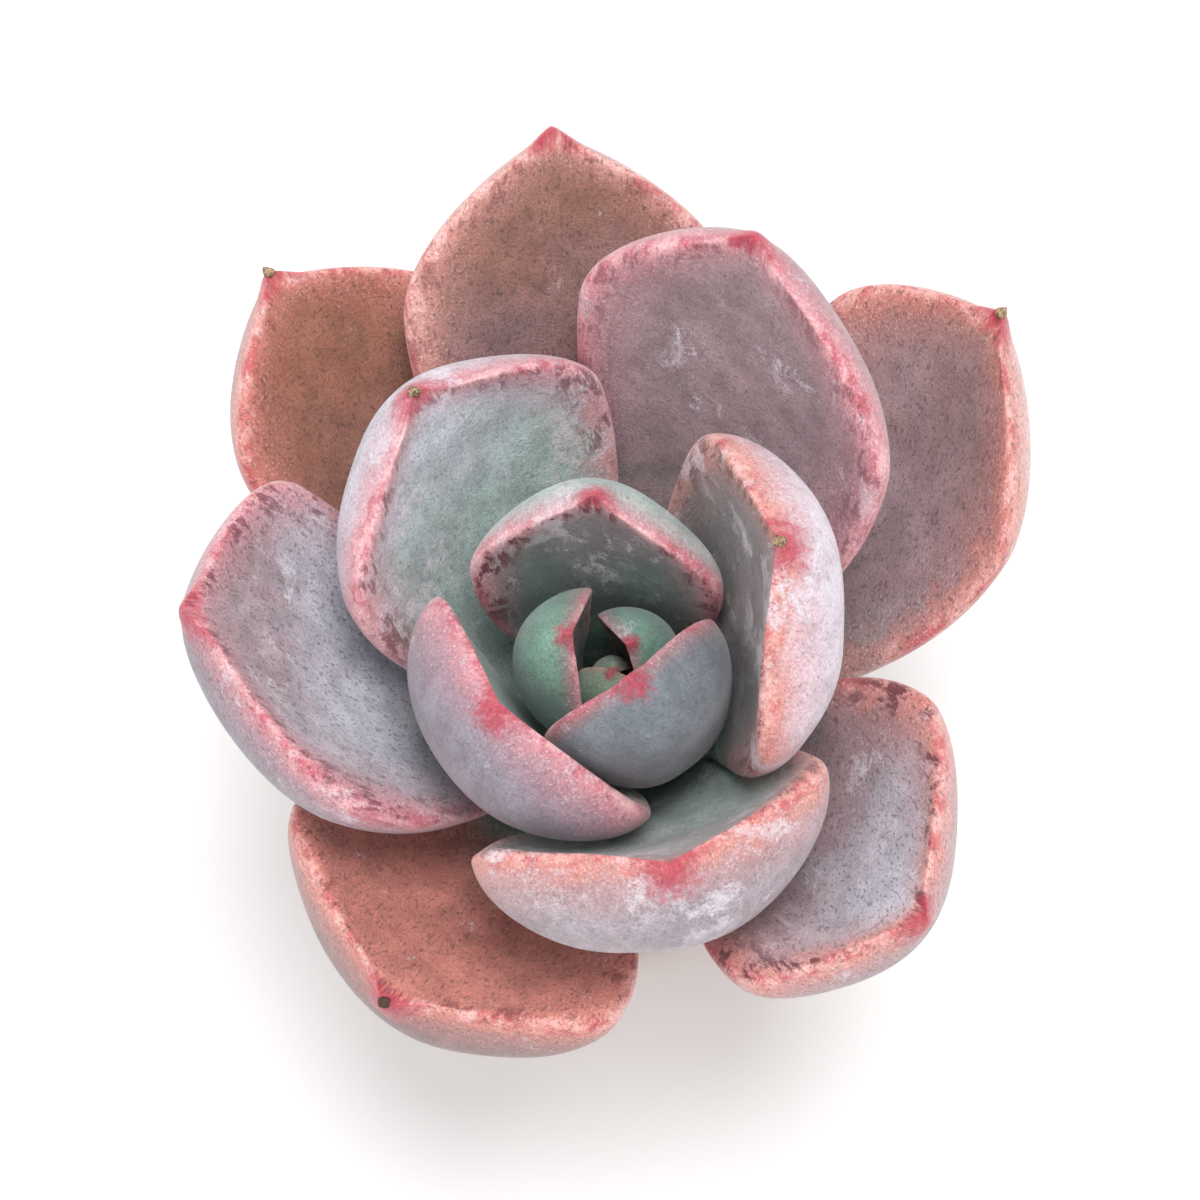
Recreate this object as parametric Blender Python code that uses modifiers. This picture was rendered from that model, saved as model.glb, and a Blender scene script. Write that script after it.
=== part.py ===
"""Potted succulent: one thick-leaved rosette on a short stem, in soil, in a small clay pot.

Metres, +Z up. The origin is the centre of the pot's flat base, on the surface that it
stands on. -Y is the front, the side that the rosette opens towards.
"""
import math

import bmesh
import bpy
from mathutils import Vector

MM = 0.001
OBJECT_NAME = "potted_succulent"

# Driving dimensions. Everything below is worked out from these.
POT_HEIGHT = 50.0 * MM
RIM_RADIUS = 24.0 * MM
WALL = 3.0 * MM
BASE_RADIUS = 18.5 * MM
ROSETTE_REACH = 57.0 * MM   # length of an outer leaf
LEAF_BREADTH = 37.5 * MM    # full width of a grown leaf
GAP = 0.3 * MM              # between pieces that touch

# Pot
COLLAR_HEIGHT = 11.5 * MM
COLLAR_STEP = 2.0 * MM
COLLAR_DRAFT = 0.6 * MM
FLOOR = 4.0 * MM
RIM_ROUND = 1.2 * MM
FOOT_ROUND = 1.5 * MM
DRAIN_COUNT = 3
DRAIN_RADIUS = 2.5 * MM
DRAIN_CIRCLE = 9.5 * MM
TURN_STEPS = 40

# Soil
SOIL_EDGE = POT_HEIGHT - 3.2 * MM
SOIL_RISE = 1.2 * MM
SOIL_RINGS = 6

# Stem: it stands in a pocket of the soil, and tapers where the leaves join it.
CROWN_HEIGHT = POT_HEIGHT + 6.3 * MM
STEM_RADIUS = 6.6 * MM
STEM_ROOT = CROWN_HEIGHT - 18.0 * MM
STEM_TIP_ABOVE_CROWN = 12.6 * MM
STEM_STEPS = 24

# Rosette: each younger leaf stands a golden angle round from the one before, higher,
# steeper, shorter and, near the heart, narrower.
LEAF_COUNT = 17
FIRST_BEARING = 158.0
GOLDEN_TURN = -137.5
LEAN_OUTER = 23.0           # degrees above level
LEAN_INNER = 95.0
CURL = 22.0                 # degrees that a leaf bends upwards along its length
HEART_LENGTH = 20.0 * MM
LENGTH_FALL = 1.6
FULL_BREADTH_UNTIL = 9      # leaves younger than this one narrow towards the heart
HEART_BREADTH = 0.12
BASE_OFFSET = 1.2 * MM
BASE_SPREAD = 7.6 * MM
BASE_SPREAD_POWER = 0.8
FIRST_BASE_BELOW_CROWN = 2.0 * MM
BASE_PITCH = 0.95 * MM

# A leaf's outline and section, as fractions of its own size
NECK = 0.27                 # width at the base
BASE_DEPTH = 0.38           # thickness at the base
DEEPEST_AT = 0.70
SHOULDER_POWER = 0.72       # how blunt the outline is beside the tip
BASE_ROUNDING = 0.05
CHANNEL_START = 0.4
KEEL_POWER = 2.4
FACE_SWELL = 0.10
EDGE_CROWDING = 0.8
LEAF_SIDES = 16
LEAF_RINGS = 13

# How each leaf departs from the rule above, oldest first. shift, rise, curl, roll and
# twist are in degrees; long, wide and thick are factors; sweep bends a leaf sideways;
# channel is how far the margins stand above the midrib; broadest is where it is widest.
HABITS = (
    dict(shift=-29, rise=2, curl=2, roll=8, wide=0.92, thick=0.29),
    dict(shift=13, rise=2, curl=6, roll=-2, twist=-3, wide=0.95, thick=0.28, sweep=0.19, broadest=0.73),
    dict(shift=-9, rise=-1, curl=-10, roll=4, twist=-3, long=0.68, wide=1.14, thick=0.26),
    dict(shift=-9, rise=-3, curl=-8, twist=-3, long=1.13, wide=0.98),
    dict(shift=3, curl=-6, roll=-6, twist=-8, long=0.82, wide=1.02, thick=0.21, sweep=-0.17),
    dict(shift=-6, rise=-5, curl=-20, roll=16, twist=-16, long=0.94, wide=1.05, sweep=-0.20),
    dict(shift=6, rise=3, curl=2, roll=-5, twist=10, long=1.20, wide=1.03, thick=0.20, sweep=0.15, channel=0.1),
    dict(shift=8, rise=12, curl=5, roll=5, twist=-16, long=0.92, wide=1.02, thick=0.26),
    dict(shift=-6, rise=-7, curl=-2, roll=7, twist=-3, long=1.02, thick=0.24, sweep=-0.06),
    dict(shift=18, rise=12, curl=-2, roll=-5, twist=-16, long=1.18, wide=0.94, thick=0.24, sweep=0.04, channel=0.12),
    dict(shift=-5, rise=9, curl=4, roll=8, twist=-13, long=0.98, sweep=-0.05),
    dict(shift=13, rise=4, curl=-22, roll=-12, twist=-14, long=1.12, wide=0.98, thick=0.23),
    dict(shift=8, rise=12, curl=7, roll=-10, long=1.15, wide=0.98, thick=0.31, sweep=-0.06, channel=0.3),
    dict(shift=6, rise=6, curl=2, long=1.06, wide=0.88, thick=0.32, sweep=-0.03, channel=0.3),
    dict(shift=4, rise=6, curl=6, roll=-9, long=1.03, wide=0.88, thick=0.36, channel=0.3),
    dict(shift=-3, rise=2, curl=6, wide=0.90, thick=0.40, channel=0.3),
    dict(shift=-3, curl=6, thick=0.40, channel=0.3),
)
HABIT_DEFAULTS = dict(
    shift=0, rise=0, curl=0, roll=0, twist=0, long=1.0, wide=1.0, thick=0.25, sweep=0.0, channel=0.2, broadest=0.70,
)

# Colours
CLAY = (0.52, 0.22, 0.12)
EARTH = (0.055, 0.038, 0.027)
STEM_GREEN = (0.30, 0.33, 0.17)
OLD_LEAF = (0.45, 0.24, 0.21)
YOUNG_LEAF = (0.38, 0.50, 0.42)


def clear_scene():
    for obj in list(bpy.data.objects):
        bpy.data.objects.remove(obj, do_unlink=True)


def new_collection(name):
    collection = bpy.data.collections.new(name)
    bpy.context.scene.collection.children.link(collection)
    return collection


def matt_material(name, colour, roughness):
    material = bpy.data.materials.new(name)
    material.use_nodes = True
    shader = material.node_tree.nodes["Principled BSDF"]
    shader.inputs["Base Color"].default_value = (*colour, 1.0)
    shader.inputs["Roughness"].default_value = roughness
    shader.inputs["Metallic"].default_value = 0.0
    return material


def mix(low, high, amount):
    return low + (high - low) * amount


def clamp(value):
    return min(max(value, 0.0), 1.0)


# --- turned pieces -------------------------------------------------------------------

def rounded_outline(corners, steps=4):
    """The outline through (radius, height, fillet) corners, each fillet as an arc."""
    points = []
    for index, (radius, height, fillet) in enumerate(corners):
        corner = Vector((radius, height))
        if fillet == 0.0:
            points.append(corner)
            continue
        back = (Vector(corners[index - 1][:2]) - corner).normalized()
        ahead = (Vector(corners[index + 1][:2]) - corner).normalized()
        half_angle = back.angle(ahead) / 2.0
        centre = corner + (back + ahead).normalized() * fillet / math.sin(half_angle)
        start = corner + back * fillet / math.tan(half_angle) - centre
        end = corner + ahead * fillet / math.tan(half_angle) - centre
        sweep = start.angle_signed(end)
        for step in range(steps + 1):
            turn = -sweep * step / steps
            across = start.x * math.cos(turn) - start.y * math.sin(turn)
            along = start.x * math.sin(turn) + start.y * math.cos(turn)
            points.append(centre + Vector((across, along)))
    return points


def turned(name, outline, material, collection):
    """A solid of revolution. The outline starts and ends on the axis and runs down outside."""
    mesh = bpy.data.meshes.new(name)
    vertices = [(point.x, 0.0, point.y) for point in outline]
    mesh.from_pydata(vertices, [(i, i + 1) for i in range(len(vertices) - 1)], [])
    obj = bpy.data.objects.new(name, mesh)
    collection.objects.link(obj)
    screw = obj.modifiers.new("turn", "SCREW")
    screw.axis = "Z"
    screw.steps = TURN_STEPS
    screw.render_steps = TURN_STEPS
    screw.use_merge_vertices = True
    screw.merge_threshold = 0.00001
    screw.use_smooth_shade = True
    mesh.materials.append(material)
    return obj


def inner_radius(height):
    """Inside of the pot's wall, which tapers straight from the rim to the floor."""
    top = RIM_RADIUS - WALL
    bottom = BASE_RADIUS - WALL
    return mix(bottom, top, (height - FLOOR) / (POT_HEIGHT - FLOOR))


def make_pot(collection, cutters):
    collar_foot = POT_HEIGHT - COLLAR_HEIGHT
    outline = rounded_outline([
        (0.0, FLOOR, 0.0),
        (inner_radius(FLOOR), FLOOR, FOOT_ROUND),
        (inner_radius(POT_HEIGHT), POT_HEIGHT, RIM_ROUND),
        (RIM_RADIUS, POT_HEIGHT, RIM_ROUND),
        (RIM_RADIUS - COLLAR_DRAFT, collar_foot, RIM_ROUND / 2),
        (RIM_RADIUS - COLLAR_DRAFT - COLLAR_STEP, collar_foot - RIM_ROUND / 2, 0.0),
        (BASE_RADIUS, 0.0, FOOT_ROUND),
        (0.0, 0.0, 0.0),
    ])
    pot = turned("pot", outline, matt_material("clay", CLAY, 0.85), collection)
    for index in range(DRAIN_COUNT):
        bearing = math.radians(90.0 + 360.0 * index / DRAIN_COUNT)
        drill = drain_drill(f"drain_drill_{index + 1}", bearing, cutters)
        cut = pot.modifiers.new(drill.name, "BOOLEAN")
        cut.operation = "DIFFERENCE"
        cut.solver = "EXACT"
        cut.object = drill


def drain_drill(name, bearing, cutters):
    mesh = bpy.data.meshes.new(name)
    shape = bmesh.new()
    bmesh.ops.create_cone(
        shape, cap_ends=True, segments=20, radius1=DRAIN_RADIUS, radius2=DRAIN_RADIUS, depth=FLOOR * 3,
    )
    shape.to_mesh(mesh)
    shape.free()
    drill = bpy.data.objects.new(name, mesh)
    drill.location = (DRAIN_CIRCLE * math.cos(bearing), DRAIN_CIRCLE * math.sin(bearing), FLOOR / 2)
    drill.hide_render = True
    drill.display_type = "WIRE"
    cutters.objects.link(drill)
    return drill


def make_soil(collection):
    """Fills the pot to just under the rim, a little higher round the stem's pocket."""
    pocket = STEM_RADIUS + GAP
    edge = inner_radius(SOIL_EDGE) - GAP
    outline = [Vector((0.0, STEM_ROOT - GAP)), Vector((pocket, STEM_ROOT - GAP))]
    for ring in range(SOIL_RINGS + 1):
        outward = ring / SOIL_RINGS
        height = SOIL_EDGE + SOIL_RISE * math.cos(math.pi / 2 * outward)
        outline.append(Vector((mix(pocket, edge, outward), height)))
    bottom = FLOOR + GAP
    outline += rounded_outline([
        (edge, SOIL_EDGE, 0.0),
        (inner_radius(bottom) - GAP, bottom, FOOT_ROUND + GAP),
        (0.0, bottom, 0.0),
    ])[1:]
    turned("soil", outline, matt_material("earth", EARTH, 0.95), collection)


def stem_radius(height):
    """Constant up to the oldest leaf's base, then following the leaf bases inwards."""
    above = height - CROWN_HEIGHT
    if above <= 0.0:
        return STEM_RADIUS
    return STEM_RADIUS * (1.0 - above / STEM_TIP_ABOVE_CROWN) ** 0.9


def make_stem(collection):
    outline = []
    tip = CROWN_HEIGHT + STEM_TIP_ABOVE_CROWN
    for step in range(STEM_STEPS + 1):
        height = mix(tip, STEM_ROOT, (step / STEM_STEPS) ** 1.2)
        outline.append(Vector((stem_radius(height), height)))
    outline.append(Vector((0.0, STEM_ROOT)))
    turned("stem", outline, matt_material("stem_skin", STEM_GREEN, 0.7), collection)


# --- leaves --------------------------------------------------------------------------

def leaf_habit(index):
    """The leaf's own sizes and angles (metres, radians): the spiral's rule and its departure."""
    own = {**HABIT_DEFAULTS, **HABITS[index]}
    age = index / (LEAF_COUNT - 1)
    length = mix(ROSETTE_REACH, HEART_LENGTH, age ** LENGTH_FALL)
    narrowing = max(index - FULL_BREADTH_UNTIL, 0) / (LEAF_COUNT - 1 - FULL_BREADTH_UNTIL)
    breadth = LEAF_BREADTH * (1.0 - narrowing + HEART_BREADTH * narrowing ** 2) * own["wide"]
    return dict(
        bearing=math.radians(FIRST_BEARING + GOLDEN_TURN * index + own["shift"]),
        lean=math.radians(mix(LEAN_OUTER, LEAN_INNER, age) + own["rise"]),
        curl=math.radians(CURL + own["curl"]),
        roll=math.radians(own["roll"]),
        twist=math.radians(own["twist"]),
        length=length * own["long"],
        breadth=breadth,
        depth=breadth * own["thick"],
        sweep=own["sweep"],
        channel=own["channel"],
        broadest=own["broadest"],
        base_radius=BASE_OFFSET + BASE_SPREAD * (1.0 - age) ** BASE_SPREAD_POWER,
        base_height=CROWN_HEIGHT - FIRST_BASE_BELOW_CROWN + BASE_PITCH * index,
    )


def base_rounding(along):
    return math.sqrt(clamp(1.0 - (1.0 - clamp(along / BASE_ROUNDING)) ** 2))


def half_breadth(habit, along):
    broadest = habit["broadest"]
    if along < broadest:
        share = NECK + (1.0 - NECK) * math.sin(math.pi / 2 * along / broadest) ** 1.2
    else:
        beyond = (along - broadest) / (1.0 - broadest)
        share = clamp(math.cos(math.pi / 2 * beyond)) ** SHOULDER_POWER
    return habit["breadth"] / 2 * share * base_rounding(along)


def thickness(habit, along):
    swelling = math.sin(math.pi / 2 * clamp(along / DEEPEST_AT))
    beyond = clamp((along - DEEPEST_AT) / (1.0 - DEEPEST_AT))
    thinning = math.sqrt(clamp(1.0 - beyond ** KEEL_POWER))
    return habit["depth"] * mix(BASE_DEPTH, 1.0, swelling) * thinning * base_rounding(along)


def section_point(habit, along, around):
    """Sideways and upward place on the leaf's skin: a shallow channel above, a round keel below."""
    cosine = math.cos(around)
    across = math.copysign(abs(cosine) ** EDGE_CROWDING, cosine)
    half = half_breadth(habit, along)
    depth = thickness(habit, along)
    face = habit["channel"] * clamp(along / CHANNEL_START) * half * across ** 2
    if math.sin(around) >= 0.0:
        return half * across, face + FACE_SWELL * depth * math.sqrt(clamp(1.0 - across ** 6))
    return half * across, face - depth * math.sqrt(clamp(1.0 - abs(across) ** KEEL_POWER))


def leaf_point(habit, along, sideways, upward):
    """Place in the leaf's own frame: its base at the origin, growing along +X, its face up."""
    curl = habit["curl"] or 0.0001
    start = habit["lean"] - curl / 2
    angle = start + curl * along
    reach = habit["length"] * (math.sin(angle) - math.sin(start)) / curl
    climb = habit["length"] * (math.cos(start) - math.cos(angle)) / curl
    roll = habit["roll"] + habit["twist"] * (along - 0.5)
    side = sideways * math.cos(roll) - upward * math.sin(roll)
    lift = sideways * math.sin(roll) + upward * math.cos(roll)
    drift = habit["sweep"] * habit["length"] * along ** 2
    return Vector((reach - math.sin(angle) * lift, side + drift, climb + math.cos(angle) * lift))


def make_leaf(index, collection, rosette):
    """A sphere's rings, from pole to pole, are stretched into the leaf's sections."""
    name = f"leaf_{index + 1:02d}"
    habit = leaf_habit(index)
    shape = bmesh.new()
    bmesh.ops.create_uvsphere(shape, u_segments=LEAF_SIDES, v_segments=LEAF_RINGS, radius=1.0)
    for vertex in shape.verts:
        along = clamp((1.0 + vertex.co.z) / 2)
        around = math.atan2(vertex.co.y, vertex.co.x)
        sideways, upward = section_point(habit, along, around)
        vertex.co = leaf_point(habit, along, sideways, upward)
    mesh = bpy.data.meshes.new(name)
    shape.to_mesh(mesh)
    shape.free()
    mesh.shade_smooth()
    age = index / (LEAF_COUNT - 1)
    colour = [mix(old, young, age) for old, young in zip(OLD_LEAF, YOUNG_LEAF)]
    mesh.materials.append(matt_material(f"{name}_skin", colour, 0.55))
    leaf = bpy.data.objects.new(name, mesh)
    bearing = habit["bearing"]
    leaf.parent = rosette
    leaf.location = (
        habit["base_radius"] * math.cos(bearing),
        habit["base_radius"] * math.sin(bearing),
        habit["base_height"] - CROWN_HEIGHT,
    )
    leaf.rotation_euler = (0.0, 0.0, bearing)
    collection.objects.link(leaf)


def make_rosette(collection):
    rosette = bpy.data.objects.new("rosette", None)
    rosette.location = (0.0, 0.0, CROWN_HEIGHT)
    collection.objects.link(rosette)
    for index in range(LEAF_COUNT):
        make_leaf(index, collection, rosette)


def main():
    clear_scene()
    collection = new_collection(OBJECT_NAME)
    cutters = new_collection(f"{OBJECT_NAME}_cutters")
    make_pot(collection, cutters)
    make_soil(collection)
    make_stem(collection)
    make_rosette(collection)


main()
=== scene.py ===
"""Looks for a potted succulent: fine leaves, stem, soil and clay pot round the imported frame."""
import math
import random

import bmesh
import bpy
import numpy as np
from bpy.props import FloatProperty, FloatVectorProperty, IntProperty, PointerProperty
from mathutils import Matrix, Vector


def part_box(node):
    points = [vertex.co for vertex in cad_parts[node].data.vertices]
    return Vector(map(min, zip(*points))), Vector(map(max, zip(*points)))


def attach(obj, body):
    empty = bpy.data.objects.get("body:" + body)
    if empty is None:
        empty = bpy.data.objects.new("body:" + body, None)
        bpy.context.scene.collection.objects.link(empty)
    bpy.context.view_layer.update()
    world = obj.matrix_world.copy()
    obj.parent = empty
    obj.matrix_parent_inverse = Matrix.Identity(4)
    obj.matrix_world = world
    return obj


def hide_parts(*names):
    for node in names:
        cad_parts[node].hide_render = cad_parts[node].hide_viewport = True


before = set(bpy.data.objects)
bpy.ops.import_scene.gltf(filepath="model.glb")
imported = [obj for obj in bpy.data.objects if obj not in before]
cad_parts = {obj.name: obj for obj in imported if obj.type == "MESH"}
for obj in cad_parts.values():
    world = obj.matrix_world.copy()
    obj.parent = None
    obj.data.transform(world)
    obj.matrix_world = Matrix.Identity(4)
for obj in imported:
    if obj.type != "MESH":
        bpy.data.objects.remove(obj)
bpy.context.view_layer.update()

bl_info = {
    "name": "Potted Succulent",
    "version": (1, 0, 0),
    "blender": (4, 5, 0),
    "location": "3D View > Sidebar > Succulent",
    "description": "Builds a thick-leaved rosette in a small clay pot",
    "category": "Add Mesh",
}

MM = 0.001
POT_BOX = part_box("pot")
POT_HEIGHT = POT_BOX[1][2]
RIM_RADIUS = POT_BOX[1][0]

# Pot, soil and stem, as in the frame
WALL = 3.0 * MM
BASE_RADIUS = 18.5 * MM
COLLAR_HEIGHT = 11.5 * MM
COLLAR_STEP = 2.0 * MM
COLLAR_DRAFT = 0.6 * MM
FLOOR = 4.0 * MM
RIM_ROUND = 1.2 * MM
FOOT_ROUND = 1.5 * MM
DRAIN_COUNT = 3
DRAIN_RADIUS = 2.5 * MM
DRAIN_CIRCLE = 9.5 * MM
GAP = 0.3 * MM
SOIL_EDGE = POT_HEIGHT - 3.2 * MM
SOIL_RISE = 1.2 * MM
CROWN_HEIGHT = POT_HEIGHT + 6.3 * MM
STEM_RADIUS = 6.6 * MM
STEM_ROOT = CROWN_HEIGHT - 18.0 * MM
STEM_TIP_ABOVE_CROWN = 12.6 * MM
STEM_STEPS = 96
SCAR_COUNT = 14
SCAR_DEPTH = 0.11               # as a share of the stem's radius
SCAR_HALF_WIDTH = 0.42          # in radians round the stem
SCAR_TOP = 17.0                 # in millimetres above the stem's root
SCAR_PITCH = 1.15
SOIL_STEPS = 160
SOIL_RINGS = 12

# Rosette, as in the frame: a golden-angle spiral, oldest leaf first
LEAF_COUNT = 17
OUTER_LEAVES = 6
FIRST_BEARING = 158.0
GOLDEN_TURN = -137.5
LEAN_OUTER = 23.0
LEAN_INNER = 95.0
CURL = 22.0
ROSETTE_REACH = 57.0 * MM
LEAF_BREADTH = 37.5 * MM
HEART_LENGTH = 20.0 * MM
LENGTH_FALL = 1.6
FULL_BREADTH_UNTIL = 9
HEART_BREADTH = 0.12
BASE_OFFSET = 1.2 * MM
BASE_SPREAD = 7.6 * MM
BASE_SPREAD_POWER = 0.8
FIRST_BASE_BELOW_CROWN = 2.0 * MM
BASE_PITCH = 0.95 * MM

# A leaf's outline and section, as fractions of its own size
NECK = 0.27
BASE_DEPTH = 0.38
DEEPEST_AT = 0.70
SHOULDER_POWER = 0.72
BASE_ROUNDING = 0.05
CHANNEL_START = 0.4
KEEL_POWER = 2.4
FACE_SWELL = 0.10
EDGE_CROWDING = 0.8
RIM_SWELL = 0.13            # the rounded rim inside each margin, as a share of the half breadth
FULL_POINT_BREADTH = 20.0 * MM      # narrower leaves draw out into shorter points
POINT_START = 0.975         # where the blade draws out into its point

# How each leaf departs from the spiral's rule, oldest first. Angles in degrees; long,
# wide and thick are factors; sweep bends a leaf sideways. The first fifteen rows are mostly a
# fitting program's output, rounded, and not values chosen by hand.
HABITS = (
    dict(shift=-29, rise=2, curl=2, roll=8, wide=0.92, thick=0.29),
    dict(shift=13, rise=2, curl=6, roll=-2, twist=-3, wide=0.95, thick=0.28, sweep=0.19, broadest=0.73),
    dict(shift=-9, rise=-1, curl=-10, roll=4, twist=-3, long=0.68, wide=1.14, thick=0.26),
    dict(shift=-9, rise=-3, curl=-8, twist=-3, long=1.13, wide=0.98),
    dict(shift=3, curl=-6, roll=-6, twist=-8, long=0.82, wide=1.02, thick=0.21, sweep=-0.17),
    dict(shift=-6, rise=-5, curl=-20, roll=16, twist=-16, long=0.94, wide=1.05, sweep=-0.20),
    dict(shift=6, rise=3, curl=2, roll=-5, twist=10, long=1.20,
         wide=1.03, thick=0.20, sweep=0.15, channel=0.1),
    dict(shift=8, rise=12, curl=5, roll=5, twist=-16, long=0.92, wide=1.02, thick=0.26),
    dict(shift=-6, rise=-7, curl=-2, roll=7, twist=-3, long=1.02, thick=0.24, sweep=-0.06),
    dict(shift=18, rise=12, curl=-2, roll=-5, twist=-16, long=1.18,
         wide=0.94, thick=0.24, sweep=0.04, channel=0.12),
    dict(shift=-5, rise=9, curl=4, roll=8, twist=-13, long=0.98, sweep=-0.05),
    dict(shift=13, rise=4, curl=-22, roll=-12, twist=-14, long=1.12, wide=0.98, thick=0.23),
    dict(shift=8, rise=12, curl=7, roll=-10, long=1.15, wide=0.98, thick=0.31, sweep=-0.06, channel=0.3),
    dict(shift=6, rise=6, curl=2, long=1.06, wide=0.88, thick=0.32, sweep=-0.03, channel=0.3),
    dict(shift=4, rise=6, curl=6, roll=-9, long=1.03, wide=0.88, thick=0.36, channel=0.3),
    dict(shift=-3, rise=2, curl=6, wide=0.90, thick=0.40, channel=0.3),
    dict(shift=-3, curl=6, thick=0.40, channel=0.3),
)
HABIT_DEFAULTS = dict(
    shift=0, rise=0, curl=0, roll=0, twist=0, long=1.0, wide=1.0, thick=0.25, sweep=0.0, channel=0.2,
    broadest=0.70,
)

# Stage
FLOOR_HALF_WIDTH = 3.0
CAMERA_TARGET = (-1.5 * MM, 8.0 * MM, CROWN_HEIGHT + 30.0 * MM)
SENSOR_WIDTH = 36.0
WORLD_STRENGTH = 0.78

# Leaf colours, by name
TINTS = dict(
    olive=(0.150, 0.165, 0.070),
    moss=(0.170, 0.215, 0.125),
    teal=(0.180, 0.320, 0.260),
    mint=(0.400, 0.510, 0.480),
    spring=(0.330, 0.450, 0.330),
    slate=(0.150, 0.155, 0.140),
    fog=(0.285, 0.330, 0.300),
    charcoal=(0.085, 0.105, 0.105),
    mid_green=(0.150, 0.215, 0.200),
    smoke=(0.235, 0.210, 0.215),
    umber=(0.300, 0.140, 0.105),
    terracotta=(0.340, 0.135, 0.085),
    brick=(0.520, 0.200, 0.165),
    mauve=(0.290, 0.175, 0.172),
    rose_grey=(0.340, 0.240, 0.260),
    orchid=(0.400, 0.335, 0.375),
    lavender=(0.540, 0.540, 0.610),
    lilac=(0.640, 0.540, 0.620),
    dusk=(0.270, 0.240, 0.290),
    dusk_green=(0.190, 0.215, 0.245),
    pale_pink=(0.700, 0.480, 0.470),
    coral=(0.740, 0.270, 0.220),
    salmon=(0.760, 0.360, 0.310),
    pink=(0.700, 0.290, 0.330),
    crimson=(0.500, 0.045, 0.085),
    # pale pink painted as a highlight along each leaf's rounded crest
    crest_highlight=(0.920, 0.600, 0.590),
)
# Each leaf's skin: heel, blade and crown are its face from base to tip, keel its underside.
SKINS = (
    dict(heel="olive", blade="umber", crown="terracotta", keel="rose_grey",
         rim="coral", wax=0.10, wine=0.20),
    dict(heel="fog", blade="rose_grey", crown="mauve", keel="pale_pink", rim="coral",
         wax=0.20, wine=0.10, band=3.4),
    dict(heel="fog", blade="brick", crown="brick", keel="mauve", rim="coral", wax=0.22, wine=0.60),
    dict(heel="mauve", blade="mauve", crown="umber", keel="rose_grey", rim="salmon", wax=0.25, wine=0.35),
    dict(heel="charcoal", blade="rose_grey", crown="lavender", keel="orchid", rim="coral",
         wax=0.35, wine=0.85, band=3.6),
    dict(heel="slate", blade="lavender", crown="rose_grey", keel="dusk", rim="pink", wax=0.40, wine=0.70),
    dict(heel="slate", blade="rose_grey", crown="rose_grey", keel="rose_grey",
         rim="pink", wax=0.30, wine=0.50),
    dict(heel="teal", blade="mint", crown="rose_grey", keel="orchid", rim="coral", wax=0.50, wine=0.60),
    dict(heel="mint", blade="mint", crown="lavender", keel="lavender", rim="pink",
         wax=0.50, wine=0.70, band=3.0),
    dict(heel="teal", blade="smoke", crown="smoke", keel="lilac", rim="coral", wax=0.55, wine=0.70),
    dict(heel="teal", blade="mint", crown="rose_grey", keel="dusk", rim="pink", wax=0.25, wine=0.80),
    dict(heel="teal", blade="mid_green", crown="smoke", keel="mint", rim="pink",
         wax=0.52, wine=1.00, band=1.8),
    dict(heel="teal", blade="teal", crown="slate", keel="dusk_green", rim="pink",
         wax=0.25, wine=1.00, band=1.0),
    dict(heel="teal", blade="smoke", crown="smoke", keel="teal", rim="pink",
         wax=0.30, wine=0.90, band=1.0),
    dict(heel="teal", blade="smoke", crown="smoke", keel="teal", rim="pink",
         wax=0.30, wine=0.90, band=0.8),
    dict(heel="moss", blade="teal", crown="spring", keel="spring", rim="salmon",
         wax=0.20, wine=0.30, band=0.6),
    dict(heel="moss", blade="teal", crown="spring", keel="spring", rim="salmon",
         wax=0.20, wine=0.30, band=0.5),
)
SKIN_DEFAULT_BAND = 2.9
OUTER_FLECK = 0.50             # how dark the flecks are on the six oldest leaves, and on the rest
INNER_FLECK = 0.28
HUSK_RADIUS = 0.82 * MM
HUSK_BACK = 0.75 * MM           # how far a husk reaches behind and beyond the leaf's tip
HUSK_AHEAD = 0.85 * MM
HUSK_SIDES = 24
HUSK_RINGS = 20
DRIED_TIPS = (1, 2, 3, 9, 10)   # leaf numbers whose points have withered
BLACK_TIP = 3                   # the one of them that has blackened
TAN_HUSK = (0.50, 0.34, 0.20)
BLACK_HUSK = (0.090, 0.045, 0.030)
WINE = (0.150, 0.016, 0.032, 1.0)
WAX = (0.740, 0.690, 0.750, 1.0)
FLECK = (0.100, 0.060, 0.060, 1.0)


def mix(low, high, amount):
    return low + (high - low) * amount


def share(values):
    return np.clip(values, 0.0, 1.0)


def rgba(colour):
    return (*colour[:3], 1.0)


# --- settings --------------------------------------------------------------------------

class PotSettings(bpy.types.PropertyGroup):
    clay: FloatVectorProperty(
        name="Clay", description="Colour of the fired clay", subtype="COLOR", size=3,
        default=(0.50, 0.205, 0.105), min=0.0, max=1.0,
    )
    lime: FloatVectorProperty(
        name="Lime bloom", description="Colour of the pale deposit on the clay", subtype="COLOR", size=3,
        default=(0.72, 0.60, 0.52), min=0.0, max=1.0,
    )
    turn_steps: IntProperty(
        name="Turn steps", description="Facets round the pot", default=144, min=24, max=360,
    )
    waver: FloatProperty(
        name="Waver", description="Depth of the potter's turning lines", subtype="DISTANCE", unit="LENGTH",
        default=0.05 * MM, min=0.0, max=0.5 * MM,
    )


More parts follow.
